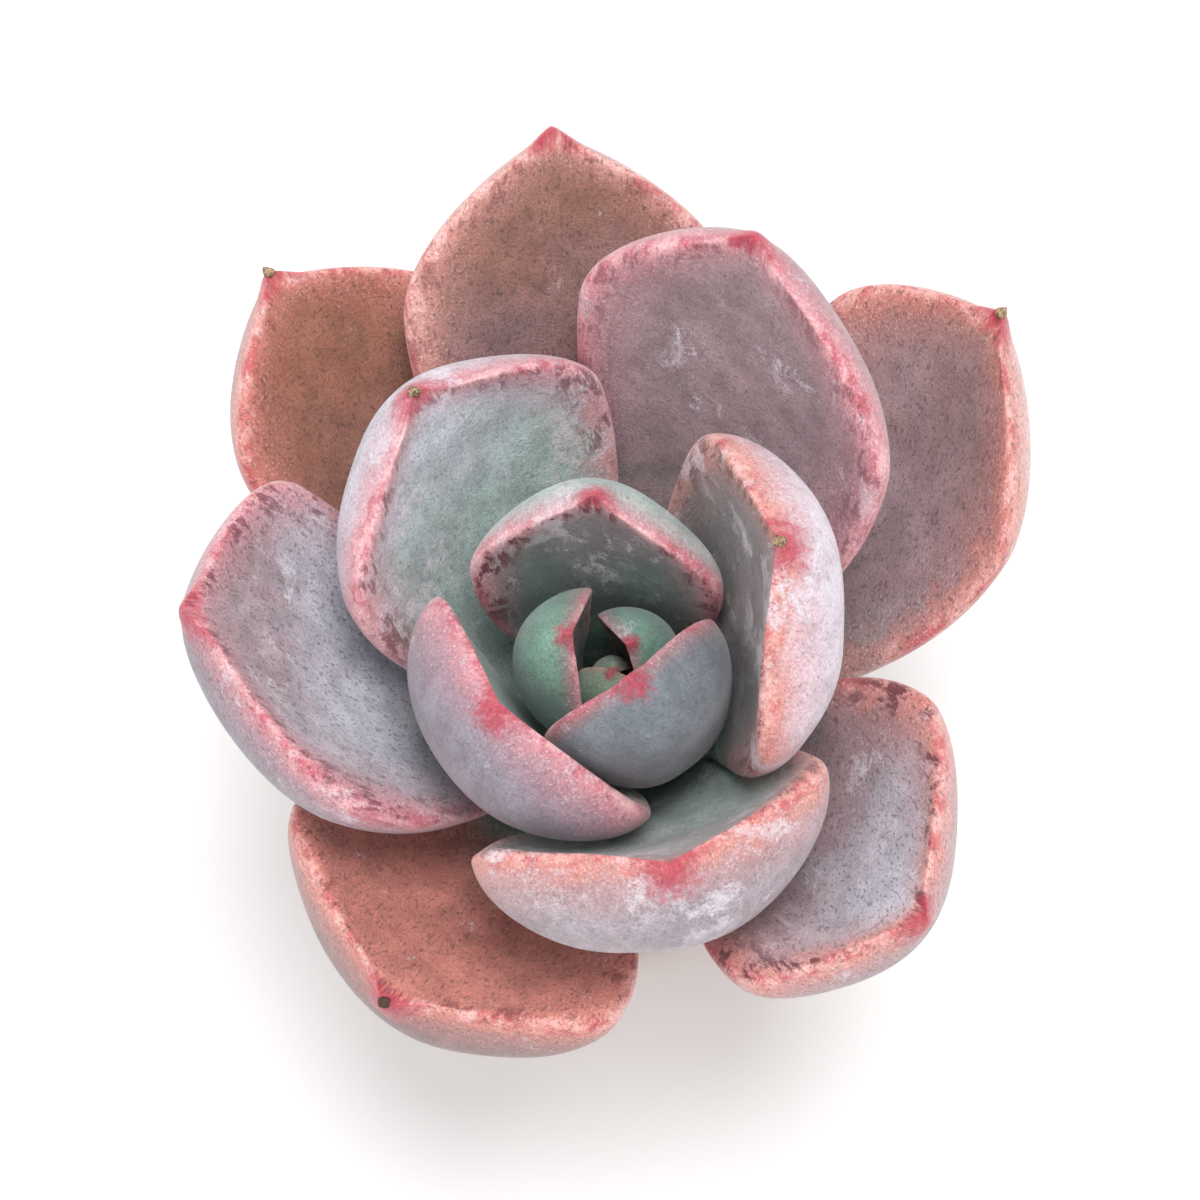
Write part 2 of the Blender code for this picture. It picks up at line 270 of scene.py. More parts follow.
class SoilSettings(bpy.types.PropertyGroup):
    earth: FloatVectorProperty(
        name="Earth", description="Colour of the damp compost", subtype="COLOR", size=3,
        default=(0.050, 0.033, 0.022), min=0.0, max=1.0,
    )
    roughness: FloatProperty(
        name="Lumps", description="Height of the compost's crumbs", subtype="DISTANCE", unit="LENGTH",
        default=0.55 * MM, min=0.0, max=2.0 * MM,
    )
    grit_count: IntProperty(name="Grit", description="Number of loose stones", default=260, min=0, max=1000)
    grit_size: FloatProperty(
        name="Grit size", description="Radius of the largest stones", subtype="DISTANCE", unit="LENGTH",
        default=1.0 * MM, min=0.2 * MM, max=3.0 * MM,
    )


class RosetteSettings(bpy.types.PropertyGroup):
    sides: IntProperty(name="Sides", description="Facets round a leaf", default=96, min=16, max=256)
    rings: IntProperty(name="Rings", description="Facets along a leaf", default=84, min=12, max=256)
    unevenness: FloatProperty(
        name="Unevenness", description="Height of the gentle swellings in a leaf's skin", subtype="DISTANCE",
        unit="LENGTH", default=0.22 * MM, min=0.0, max=1.0 * MM,
    )
    point: FloatProperty(
        name="Point", description="How far a leaf's tip draws out", subtype="DISTANCE", unit="LENGTH",
        default=1.5 * MM, min=0.0, max=4.0 * MM,
    )


class StageSettings(bpy.types.PropertyGroup):
    floor: FloatVectorProperty(
        name="Floor", description="Colour of the floor", subtype="COLOR", size=3,
        default=(0.93, 0.93, 0.93), min=0.0, max=1.0,
    )
    distance: FloatProperty(
        name="Camera distance", description="From the camera to the middle of the rosette",
        subtype="DISTANCE", unit="LENGTH", default=0.33, min=0.1, max=5.0,
    )
    elevation: FloatProperty(
        name="Camera elevation", description="Angle of the camera above level", subtype="ANGLE",
        unit="ROTATION", default=math.radians(76.0), min=0.0, max=math.pi / 2,
    )
    focal_length: FloatProperty(
        name="Focal length", description="In millimetres, on a 36 mm sensor", default=93.0, min=10.0,
        max=300.0,
    )


# --- node helpers ----------------------------------------------------------------------

class Sheet:
    """A node tree with short calls for the nodes that these materials use."""

    def __init__(self, tree):
        self.tree = tree

    def node(self, kind, inputs=None, **settings):
        made = self.tree.nodes.new(kind)
        for key, value in settings.items():
            setattr(made, key, value)
        for key, value in (inputs or {}).items():
            self.feed(made.inputs[key], value)
        return made

    def feed(self, socket, value):
        if isinstance(value, bpy.types.NodeSocket):
            self.tree.links.new(value, socket)
        else:
            socket.default_value = value

    def math(self, operation, *values, clamp=False):
        made = self.node("ShaderNodeMath", operation=operation, use_clamp=clamp)
        for socket, value in zip(made.inputs, values):
            self.feed(socket, value)
        return made.outputs[0]

    def blend(self, amount, low, high, how="MIX"):
        made = self.node("ShaderNodeMix", data_type="RGBA", blend_type=how, clamp_factor=True)
        self.feed(made.inputs[0], amount)
        self.feed(made.inputs[6], low)
        self.feed(made.inputs[7], high)
        return made.outputs[2]

    def shaded(self, colour, factor):
        """The colour made darker or lighter by a factor."""
        grey = self.node("ShaderNodeCombineColor", dict(Red=factor, Green=factor, Blue=factor))
        return self.blend(1.0, colour, grey.outputs[0], "MULTIPLY")

    def product(self, *values):
        total = values[0]
        for value in values[1:]:
            total = self.math("MULTIPLY", total, value)
        return total

    def offset(self, value, amount):
        """Noise centred on a half, made into a swing of the given size about zero."""
        return self.math("MULTIPLY", self.math("SUBTRACT", value, 0.5), amount)

    def ease(self, value, start, end, low=0.0, high=1.0):
        made = self.node("ShaderNodeMapRange", interpolation_type="SMOOTHSTEP")
        for socket, given in zip(made.inputs, (value, start, end, low, high)):
            self.feed(socket, given)
        return made.outputs[0]

    def noise(self, vector, period, detail=3.0, roughness=0.5, distortion=0.0):
        """Smooth noise, centred on a half, whose features are about period long."""
        made = self.node(
            "ShaderNodeTexNoise",
            {"Vector": vector, "Scale": 1.0 / period, "Detail": detail, "Roughness": roughness,
             "Distortion": distortion},
        )
        return made.outputs["Fac"]

    def stretched(self, vector, scale):
        made = self.node("ShaderNodeMapping", {"Vector": vector, "Scale": scale})
        return made.outputs[0]

    def group(self, tree, inputs):
        made = self.node("ShaderNodeGroup", node_tree=tree)
        for key, value in inputs.items():
            self.feed(made.inputs[key], value)
        return made


def new_group(name, inputs, outputs):
    """An empty node group with named sockets, and its sheet, input and output nodes."""
    tree = bpy.data.node_groups.new(name, "ShaderNodeTree")
    kinds = dict(float="NodeSocketFloat", colour="NodeSocketColor", vector="NodeSocketVector")
    for label, kind in inputs.items():
        tree.interface.new_socket(name=label, in_out="INPUT", socket_type=kinds[kind])
    for label, kind in outputs.items():
        tree.interface.new_socket(name=label, in_out="OUTPUT", socket_type=kinds[kind])
    sheet = Sheet(tree)
    return tree, sheet, sheet.node("NodeGroupInput"), sheet.node("NodeGroupOutput")


def new_material(name):
    material = bpy.data.materials.new(name)
    material.use_nodes = True
    material.node_tree.nodes.clear()
    sheet = Sheet(material.node_tree)
    shader = sheet.node("ShaderNodeBsdfPrincipled")
    output = sheet.node("ShaderNodeOutputMaterial")
    sheet.feed(output.inputs["Surface"], shader.outputs[0])
    return material, sheet, shader


def dress(sheet, shader, colour, roughness, height, distance, strength):
    """Feeds a shader its colour, its roughness and a bump of the given depth."""
    sheet.feed(shader.inputs["Base Color"], colour)
    sheet.feed(shader.inputs["Roughness"], roughness)
    bump = sheet.node("ShaderNodeBump", {"Strength": strength, "Distance": distance, "Height": height})
    sheet.feed(shader.inputs["Normal"], bump.outputs[0])


# --- shared shader effects -------------------------------------------------------------

def speckle_group():
    """Scattered flecks of a given size: 1 on a fleck, 0 off it."""
    tree, sheet, given, out = new_group(
        "Speckle", dict(Place="vector", Size="float", Cover="float"), dict(Mask="float"),
    )
    frequency = sheet.math("DIVIDE", 1.0, given.outputs["Size"])
    noise = sheet.node("ShaderNodeTexNoise", {"Vector": given.outputs["Place"], "Scale": frequency,
                                              "Detail": 2.0, "Roughness": 0.6})
    edge = sheet.math("SUBTRACT", 0.78, sheet.product(given.outputs["Cover"], 0.42))
    mask = sheet.ease(noise.outputs["Fac"], edge, sheet.math("ADD", edge, 0.08))
    sheet.feed(out.inputs["Mask"], mask)
    return tree


def worn_wax_group():
    """Powdery wax: patches with scratched, crumbling edges. 1 where the wax is thick."""
    tree, sheet, given, out = new_group(
        "Worn Wax", dict(Place="vector", Cover="float"), dict(Mask="float"),
    )
    place = given.outputs["Place"]
    patches = sheet.noise(place, 7.0, detail=7.0, roughness=0.72, distortion=0.4)
    scratches = sheet.noise(sheet.stretched(place, (1.0, 0.3, 1.0)), 0.9, detail=4.0, roughness=0.7)
    grain = sheet.noise(place, 0.22, detail=2.0)
    rough = sheet.math("ADD", sheet.product(scratches, 0.30), sheet.product(grain, 0.18))
    total = sheet.math("ADD", patches, rough)
    edge = sheet.math("SUBTRACT", 0.92, sheet.product(given.outputs["Cover"], 0.34))
    sheet.feed(out.inputs["Mask"], sheet.ease(total, edge, sheet.math("ADD", edge, 0.11)))
    return tree


def leaf_skin_group(speckle, worn_wax):
    """A leaf's colour, roughness and fine relief from its place on the blade.

    Skin is the place on the skin in millimetres. Edge is the distance from the margin in
    millimetres, positive on the face; Side runs from -1 to 1 across; Along from base to tip.
    """
    tree, sheet, given, out = new_group(
        "Leaf Skin",
        dict(Skin="vector", Place="vector", Heel="colour", Blade="colour", Crown="colour", Keel="colour",
             Rim="colour", Band="float", Wax="float", Wine="float",
             Fleck="float"),
        dict(Colour="colour", Roughness="float", Height="float"),
    )
    skin = given.outputs["Skin"]
    split = sheet.node("ShaderNodeSeparateXYZ", {"Vector": given.outputs["Place"]})
    edge, across, along = split.outputs
    broad = sheet.noise(skin, 9.0, detail=3.0)
    cloudy = sheet.noise(skin, 3.2, detail=4.0, roughness=0.6)
    grain = sheet.noise(skin, 0.30, detail=3.0, roughness=0.7)
    fibre = sheet.noise(sheet.stretched(skin, (1.0, 0.28, 1.0)), 1.1, detail=5.0, roughness=0.7)
    drifted = sheet.math("ADD", along, sheet.offset(broad, 0.5))

    face = sheet.blend(sheet.ease(drifted, 0.22, 0.52), given.outputs["Heel"], given.outputs["Blade"])
    face = sheet.blend(sheet.ease(drifted, 0.55, 0.95), face, given.outputs["Crown"])
    keel_foot = sheet.blend(0.55, given.outputs["Heel"], given.outputs["Keel"])
    keel = sheet.blend(sheet.ease(drifted, 0.15, 0.50), keel_foot, given.outputs["Keel"])
    colour = sheet.blend(sheet.ease(edge, -2.2, 1.4), keel, face)
    colour = sheet.shaded(colour, sheet.ease(cloudy, 0.28, 0.72, 0.80, 1.16))

    # Blush along the rim, broken by cloudy gaps, on the upper two thirds of the leaf
    crest = sheet.math("ABSOLUTE", sheet.math("SUBTRACT", edge, 0.7))
    nearness = sheet.math("DIVIDE", crest, given.outputs["Band"])
    ragged = sheet.math("ADD", nearness, sheet.offset(cloudy, 2.1))
    ragged = sheet.math("ADD", ragged, sheet.offset(fibre, 0.9))
    upper = sheet.ease(drifted, 0.22, 0.52)
    glow = sheet.product(sheet.ease(nearness, 3.2, 0.2), sheet.ease(drifted, 0.35, 0.75), 0.42)
    colour = sheet.blend(glow, colour, given.outputs["Rim"])
    band = sheet.product(sheet.ease(ragged, 1.35, -0.15), upper, 0.86)
    colour = sheet.blend(band, colour, given.outputs["Rim"])
    # The crest itself: pale pink painted as a highlight along the rounded crest in places, deep red colour
    # in others
    vein = sheet.noise(sheet.stretched(skin, (0.8, 0.20, 0.8)), 1.6, detail=4.0, roughness=0.6)
    # pale marks where the crest gets its painted highlight
    pale = sheet.product(sheet.ease(ragged, 0.60, -0.20), sheet.ease(vein, 0.36, 0.66), upper, 0.66)
    colour = sheet.blend(pale, colour, rgba(TINTS["crest_highlight"]))
    deep = sheet.product(sheet.ease(crest, 2.0, 0.1), sheet.ease(vein, 0.54, 0.36), upper, 0.60)
    colour = sheet.blend(deep, colour, rgba(TINTS["crimson"]))

    # Powdery wax in broad patches, and loose grains of it on the rim
    wax = sheet.group(worn_wax, {"Place": skin, "Cover": given.outputs["Wax"]}).outputs["Mask"]
    wax_amount = sheet.product(wax, sheet.ease(broad, 0.30, 0.70, 0.25, 0.75))
    colour = sheet.blend(wax_amount, colour, WAX)
    powder = sheet.group(speckle, {"Place": skin, "Size": 0.30, "Cover": 0.45}).outputs["Mask"]
    powder = sheet.product(powder, sheet.ease(nearness, 2.4, 0.8), 0.30)
    colour = sheet.blend(powder, colour, WAX)

    # Wine stains: streaks inside the rim, and a dark red point
    streak = sheet.product(sheet.ease(fibre, 0.45, 0.55), sheet.ease(cloudy, 0.46, 0.54))
    inside = sheet.product(sheet.ease(edge, 0.4, 1.4), sheet.ease(edge, 6.5, 2.5))
    stain = sheet.product(streak, inside, sheet.ease(along, 0.35, 0.60), given.outputs["Wine"])
    colour = sheet.blend(stain, colour, WINE)
    tip = sheet.ease(sheet.math("ADD", along, sheet.offset(fibre, 0.06)), 0.972, 1.0)
    colour = sheet.blend(sheet.product(tip, 0.85), colour, rgba(TINTS["crimson"]))

    # Dark flecks where the wax has gone, and an overall powdery grain
    grid = sheet.stretched(skin, (1.0, 0.6, 1.0))
    flecks = sheet.group(speckle, {"Place": grid, "Size": 0.42, "Cover": 0.52}).outputs["Mask"]
    bare = sheet.math("SUBTRACT", 1.0, wax_amount)
    colour = sheet.blend(sheet.product(flecks, bare, given.outputs["Fleck"]), colour, FLECK)
    colour = sheet.shaded(colour, sheet.ease(grain, 0.25, 0.75, 0.78, 1.20))

    sheet.feed(out.inputs["Colour"], colour)
    sheet.feed(out.inputs["Roughness"], sheet.ease(wax_amount, 0.0, 0.8, 0.46, 0.78))
    relief = sheet.math("ADD", sheet.product(wax, 0.35), sheet.product(grain, 0.9))
    relief = sheet.math("ADD", relief, sheet.product(fibre, 0.6))
    sheet.feed(out.inputs["Height"], relief)
    return tree


def group_named(name):
    """The shared shader group of that name, built with its fellows on first use."""
    if name not in bpy.data.node_groups:
        leaf_skin_group(speckle_group(), worn_wax_group())
    return bpy.data.node_groups[name]


# --- materials -------------------------------------------------------------------------

def leaf_material(index):
    skin = SKINS[index]
    material, sheet, shader = new_material(f"leaf_skin_{index + 1:02d}")
    where = sheet.node("ShaderNodeAttribute", attribute_name="place")
    surface = sheet.node("ShaderNodeAttribute", attribute_name="skin")
    colours = {part.title(): rgba(TINTS[skin[part]]) for part in ("heel", "blade", "crown", "keel", "rim")}
    group = sheet.group(group_named("Leaf Skin"), {
        "Skin": surface.outputs["Vector"], "Place": where.outputs["Vector"], **colours,
        "Band": skin.get("band", SKIN_DEFAULT_BAND), "Wax": skin["wax"], "Wine": skin["wine"],
        "Fleck": OUTER_FLECK if index < OUTER_LEAVES else INNER_FLECK,
    })
    shader.inputs["Specular IOR Level"].default_value = 0.35
    shader.inputs["Subsurface Weight"].default_value = 0.12
    shader.inputs["Subsurface Radius"].default_value = (1.0, 0.45, 0.30)
    shader.inputs["Subsurface Scale"].default_value = 1.2 * MM
    shader.inputs["Sheen Weight"].default_value = 0.25
    shader.inputs["Sheen Roughness"].default_value = 0.45
    dress(sheet, shader, group.outputs["Colour"],
          group.outputs["Roughness"],
          group.outputs["Height"], 0.17 * MM, 0.9)
    return material


def object_millimetres(sheet):
    """The piece's own coordinates, in millimetres."""
    source = sheet.node("ShaderNodeTexCoord")
    return sheet.stretched(source.outputs["Object"], (1000.0, 1000.0, 1000.0))


def clay_material(settings):
    material, sheet, shader = new_material("fired_clay")
    place = object_millimetres(sheet)
    cloudy = sheet.noise(place, 9.0, detail=5.0, roughness=0.6)
    grain = sheet.noise(place, 0.35, detail=4.0, roughness=0.7)
    lines = sheet.noise(sheet.stretched(place, (0.02, 0.02, 1.0)), 0.6, detail=3.0)
    height = sheet.node("ShaderNodeSeparateXYZ", {"Vector": place}).outputs[2]
    dark = rgba([part * 0.62 for part in settings.clay])
    colour = sheet.blend(sheet.ease(cloudy, 0.32, 0.68), dark, rgba(settings.clay))
    colour = sheet.blend(sheet.product(sheet.ease(lines, 0.45, 0.7), 0.25), colour, dark)
    lime = sheet.group(group_named("Worn Wax"), {"Place": place, "Cover": 0.42}).outputs["Mask"]
    rim_mm = POT_HEIGHT / MM
    damp = sheet.math("MAXIMUM", sheet.ease(height, 14.0, 3.0), sheet.ease(height, rim_mm - 14.0, rim_mm))
    lime = sheet.product(lime, sheet.math("ADD", 0.12, sheet.product(damp, 0.5)))
    colour = sheet.blend(lime, colour, rgba(settings.lime))
    pores = sheet.group(group_named("Speckle"), {"Place": place, "Size": 0.5, "Cover": 0.30}).outputs["Mask"]
    pit = rgba([part * 0.35 for part in settings.clay])
    colour = sheet.blend(sheet.product(pores, 0.4), colour, pit)
    relief = sheet.math("SUBTRACT", sheet.math("ADD", grain, sheet.product(lines, 0.8)), pores)
    dress(sheet, shader, colour,
          sheet.ease(cloudy, 0.2, 0.8, 0.72, 0.92),
          relief, 0.10 * MM, 0.7)
    return material


def earth_material(settings):
    material, sheet, shader = new_material("compost")
    place = object_millimetres(sheet)
    crumbs = sheet.noise(place, 1.3, detail=6.0, roughness=0.7)
    fibres = sheet.noise(sheet.stretched(place, (0.3, 1.0, 1.0)), 0.5, detail=3.0)
    colour = sheet.blend(sheet.ease(crumbs, 0.35, 0.7), rgba([part * 0.45 for part in settings.earth]),
                         rgba([part * 1.7 for part in settings.earth]))
    shown_fibres = sheet.product(sheet.ease(fibres, 0.62, 0.72), 0.5)
    colour = sheet.blend(shown_fibres, colour, (0.16, 0.10, 0.06, 1.0))
    dress(sheet, shader, colour,
          sheet.ease(crumbs, 0.3, 0.7, 0.80, 0.98),
          sheet.math("ADD", crumbs, fibres), 0.4 * MM, 0.9)
    return material


def grit_material():
    material, sheet, shader = new_material("pumice_grit")
    place = object_millimetres(sheet)
    stone = sheet.node("ShaderNodeAttribute", attribute_name="stone")
    which = stone.outputs["Fac"]
    pale = sheet.blend(sheet.ease(which, 0.1, 0.5), (0.50, 0.44, 0.36, 1.0), (0.30, 0.22, 0.16, 1.0))
    colour = sheet.blend(sheet.ease(which, 0.65, 0.70), pale, (0.14, 0.055, 0.040, 1.0))
    pits = sheet.noise(place, 0.28, detail=3.0, roughness=0.7)
    colour = sheet.blend(sheet.ease(pits, 0.55, 0.35), colour, (0.09, 0.07, 0.06, 1.0))
    dress(sheet, shader, colour,
          sheet.ease(pits, 0.3, 0.7, 0.95, 0.75),
          pits, 0.2 * MM, 0.9)
    return material


def stem_material():
    material, sheet, shader = new_material("stem_bark")
    place = object_millimetres(sheet)
    cork = sheet.noise(sheet.stretched(place, (1.0, 1.0, 0.35)), 1.2, detail=5.0, roughness=0.7)
    height = sheet.node("ShaderNodeSeparateXYZ", {"Vector": place}).outputs[2]
    crown_mm = CROWN_HEIGHT / MM
    green = sheet.ease(height, crown_mm - 6.0, crown_mm + 2.0)
    bark = sheet.blend(sheet.ease(cork, 0.35, 0.65), (0.085, 0.055, 0.035, 1.0), (0.26, 0.20, 0.13, 1.0))
    colour = sheet.blend(green, bark, sheet.blend(cork, (0.16, 0.18, 0.07, 1.0), (0.30, 0.34, 0.18, 1.0)))
    dress(sheet, shader, colour,
          sheet.ease(cork, 0.3, 0.7, 0.9, 0.6),
          cork, 0.25 * MM, 0.9)
    return material


def dried_tip_material(name, pale):
    material, sheet, shader = new_material(name)
    place = object_millimetres(sheet)
    husk = sheet.noise(place, 0.35, detail=4.0, roughness=0.7)
    colour = sheet.blend(sheet.ease(husk, 0.35, 0.62), (0.055, 0.022, 0.014, 1.0), rgba(pale))
    dress(sheet, shader, colour,
          sheet.ease(husk, 0.3, 0.7, 0.55, 0.9),
          husk, 0.12 * MM, 0.9)
    return material


# --- meshes ----------------------------------------------------------------------------

def add_piece(name, mesh, material, replaced=None):
    """Links a finished piece, gives it its finish and puts it on the frame's one body."""
    piece = bpy.data.objects.new(name, mesh)
    bpy.context.scene.collection.objects.link(piece)
    mesh.materials.clear()
    mesh.materials.append(material)
    mesh.shade_smooth()
    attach(piece, "root")
    if replaced:
        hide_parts(replaced)
    return piece


def sphere_mesh(name, sides, rings):
    """A unit sphere's mesh, with each vertex's share from pole to pole and turn about Z."""
    shape = bmesh.new()
    bmesh.ops.create_uvsphere(shape, u_segments=sides, v_segments=rings, radius=1.0)
    mesh = bpy.data.meshes.new(name)
    shape.to_mesh(mesh)
    shape.free()
    places = np.empty(len(mesh.vertices) * 3)
    mesh.vertices.foreach_get("co", places)
    places = places.reshape(-1, 3)
    return mesh, share((1.0 + places[:, 2]) / 2), np.arctan2(places[:, 1], places[:, 0])


def set_places(mesh, places):
    mesh.vertices.foreach_set("co", np.ascontiguousarray(places, dtype=np.float32).ravel())
    mesh.update()


def set_attribute(mesh, name, values, kind="FLOAT_VECTOR", key="vector"):
    attribute = mesh.attributes.new(name, kind, "POINT")
    attribute.data.foreach_set(key, np.ascontiguousarray(values, dtype=np.float32).ravel())


def swell(rng, first, second, count=5, shortest=0.35, longest=1.1):
    """Smooth unevenness between about -1 and 1 over two coordinates, from a few seeded waves."""
    total = np.zeros_like(first)
    for _ in range(count):
        bearing = rng.uniform(0.0, math.tau)
        pitch = rng.uniform(shortest, longest)
        phase = rng.uniform(0.0, math.tau)
        total += np.sin((first * math.cos(bearing) + second * math.sin(bearing)) * pitch + phase)
    return total / math.sqrt(count)


# --- leaves ----------------------------------------------------------------------------

def leaf_habit(index):
    """The leaf's own sizes and angles (metres, radians): the spiral's rule and its departure."""
    own = {**HABIT_DEFAULTS, **HABITS[index]}
    age = index / (LEAF_COUNT - 1)
    length = mix(ROSETTE_REACH, HEART_LENGTH, age ** LENGTH_FALL)
    narrowing = max(index - FULL_BREADTH_UNTIL, 0) / (LEAF_COUNT - 1 - FULL_BREADTH_UNTIL)
    breadth = LEAF_BREADTH * (1.0 - narrowing + HEART_BREADTH * narrowing ** 2) * own["wide"]
    return dict(
        bearing=math.radians(FIRST_BEARING + GOLDEN_TURN * index + own["shift"]),
        lean=math.radians(mix(LEAN_OUTER, LEAN_INNER, age) + own["rise"]),
        curl=math.radians(CURL + own["curl"]),
        roll=math.radians(own["roll"]),
        twist=math.radians(own["twist"]),
        length=length * own["long"],
        breadth=breadth,
        depth=breadth * own["thick"],
        sweep=own["sweep"],
        channel=own["channel"],
        broadest=own["broadest"],
        base_radius=BASE_OFFSET + BASE_SPREAD * (1.0 - age) ** BASE_SPREAD_POWER,
        base_height=CROWN_HEIGHT - FIRST_BASE_BELOW_CROWN + BASE_PITCH * index,
    )


def base_rounding(along):
    return np.sqrt(share(1.0 - (1.0 - share(along / BASE_ROUNDING)) ** 2))


def half_breadth(habit, along):
    broadest = habit["broadest"]
    widening = NECK + (1.0 - NECK) * np.sin(math.pi / 2 * share(along / broadest)) ** 1.2
    beyond = share((along - broadest) / (1.0 - broadest))
    closing = share(np.cos(math.pi / 2 * beyond)) ** SHOULDER_POWER
    return habit["breadth"] / 2 * np.where(along < broadest, widening, closing) * base_rounding(along)


def thickness(habit, along):
    swelling = np.sin(math.pi / 2 * share(along / DEEPEST_AT))
    beyond = share((along - DEEPEST_AT) / (1.0 - DEEPEST_AT))
    thinning = np.sqrt(share(1.0 - beyond ** KEEL_POWER))
    return habit["depth"] * mix(BASE_DEPTH, 1.0, swelling) * thinning * base_rounding(along)


def leaf_places(habit, along, sideways, upward, point):
    """World places of points on a leaf: its midline bends in an upright plane through the stem."""
    curl = habit["curl"] or 0.0001
    start = habit["lean"] - curl / 2
    angle = start + curl * along
    drawn = point * share((along - POINT_START) / (1.0 - POINT_START)) ** 2
    reach = habit["length"] * (np.sin(angle) - math.sin(start)) / curl + drawn * np.cos(angle)
    climb = habit["length"] * (math.cos(start) - np.cos(angle)) / curl + drawn * np.sin(angle)
    roll = habit["roll"] + habit["twist"] * (along - 0.5)
    side = sideways * np.cos(roll) - upward * np.sin(roll)
    lift = sideways * np.sin(roll) + upward * np.cos(roll)
    outward = habit["base_radius"] + reach - np.sin(angle) * lift
    side = side + habit["sweep"] * habit["length"] * along ** 2
    height = habit["base_height"] + climb + np.cos(angle) * lift
    cosine, sine = math.cos(habit["bearing"]), math.sin(habit["bearing"])
    return np.stack([outward * cosine - side * sine, outward * sine + side * cosine, height], axis=-1)


def leaf_mesh(index, settings):
    """A sphere stretched into the leaf, with its place on the blade kept for the skin's shader."""
    habit = leaf_habit(index)
    mesh, along, around = sphere_mesh(f"leaf_{index + 1:02d}_blade", settings.sides, settings.rings)
    cosine = np.cos(around)
    across = np.sign(cosine) * np.abs(cosine) ** EDGE_CROWDING
    half = half_breadth(habit, along)
    depth = thickness(habit, along)
    on_face = np.sin(around) >= 0.0
    margin = habit["channel"] * share(along / CHANNEL_START) * half
    face = margin * across ** 2 + FACE_SWELL * depth * np.sqrt(share(1.0 - across ** 6))
    rim = RIM_SWELL * half * share(along / 0.3) * np.sqrt(share(1.0 - across ** 6)) * np.abs(across) ** 3
    keel = margin * across ** 2 - depth * np.sqrt(share(1.0 - np.abs(across) ** KEEL_POWER))
    upward = np.where(on_face, face + rim, keel)
    sideways = half * across
    edge = np.hypot(half * (1.0 - np.abs(across)), upward - margin) * np.where(on_face, 1.0, -1.0)

    rng = random.Random(100 + index)
    side_mm = sideways / MM
    along_mm = along * habit["length"] / MM
    fullness = half / (habit["breadth"] / 2)
    lumps = swell(rng, side_mm * 0.55, along_mm * 0.55 + np.where(on_face, 0.0, 40.0))
    away = share(np.abs(edge) / (2.0 * MM))
    upward = upward + settings.unevenness * lumps * fullness * away
    point = settings.point * min(1.0, habit["breadth"] / FULL_POINT_BREADTH)
    places = leaf_places(habit, along, sideways, upward, point)
    set_places(mesh, places)
    set_attribute(mesh, "place", np.stack([edge / MM, across, along], axis=-1))
    set_attribute(mesh, "skin", np.stack([side_mm + 61.0 * index, along_mm, upward / MM], axis=-1))
    return mesh


def dried_tip_mesh(index, settings):
    """A withered point: a small crooked husk that caps the leaf's tip."""
    habit = leaf_habit(index)
    mesh, along, around = sphere_mesh(f"withered_point_{index + 1:02d}_husk", HUSK_SIDES, HUSK_RINGS)
    ends = leaf_places(habit, np.array([POINT_START, 1.0]), np.zeros(2), np.zeros(2), settings.point)
    tip = Vector(ends[1])
    outward = (tip - Vector(ends[0])).normalized()
    across = outward.cross(Vector((0.0, 0.0, 1.0))).normalized()
    upward = across.cross(outward)
    rng = random.Random(300 + index)
    wrinkle = 1.0 + 0.16 * swell(rng, np.cos(around) * 3.0, np.sin(around) * 3.0, 4, 0.8, 2.0)
    radius = HUSK_RADIUS * np.sin(math.pi * share(along)) ** 0.7 * (1.15 - 0.75 * along) * wrinkle
    crook = rng.uniform(-0.3, 0.3) * MM * along ** 2
    forward = mix(-HUSK_BACK, HUSK_AHEAD, along)
    offsets = (np.outer(forward, outward) + np.outer(radius * np.cos(around) + crook, across)
               + np.outer(radius * np.sin(around), upward))
    set_places(mesh, np.array(tip) + offsets)
    return mesh


# --- turned pieces ---------------------------------------------------------------------

def rounded_outline(corners, steps=6):
    """The outline through (radius, height, fillet) corners, each fillet as an arc."""
    points = []
    for index, (radius, height, fillet) in enumerate(corners):
        corner = Vector((radius, height))
        if fillet == 0.0:
            points.append(corner)
            continue
        back = (Vector(corners[index - 1][:2]) - corner).normalized()
        ahead = (Vector(corners[index + 1][:2]) - corner).normalized()
        half_angle = back.angle(ahead) / 2.0
        centre = corner + (back + ahead).normalized() * fillet / math.sin(half_angle)
        start = corner + back * fillet / math.tan(half_angle) - centre
        end = corner + ahead * fillet / math.tan(half_angle) - centre
        sweep = start.angle_signed(end)
        for step in range(steps + 1):
            turn = -sweep * step / steps
            across = start.x * math.cos(turn) - start.y * math.sin(turn)
            along = start.x * math.sin(turn) + start.y * math.cos(turn)
            points.append(centre + Vector((across, along)))
    return points


def divided(outline, spacing):
    """The same outline with extra points, so that no stretch is longer than the spacing."""
    points = [outline[0]]
    for start, end in zip(outline, outline[1:]):
        pieces = max(1, math.ceil((end - start).length / spacing))
        points += [start.lerp(end, step / pieces) for step in range(1, pieces + 1)]
    return points


def turned_mesh(name, outline, steps):
    """A closed solid of revolution. The outline starts and ends on the axis."""
    shape = bmesh.new()
    corners = [shape.verts.new((point.x, 0.0, point.y)) for point in outline]
    edges = [shape.edges.new(pair) for pair in zip(corners, corners[1:])]
    bmesh.ops.spin(
        shape, geom=corners + edges, axis=(0.0, 0.0, 1.0), cent=(0.0, 0.0, 0.0),
        angle=math.tau, steps=steps, use_merge=True,
    )
    bmesh.ops.remove_doubles(shape, verts=shape.verts, dist=0.002 * MM)
    bmesh.ops.recalc_face_normals(shape, faces=shape.faces)
    mesh = bpy.data.meshes.new(name)
    shape.to_mesh(mesh)
    shape.free()
    return mesh


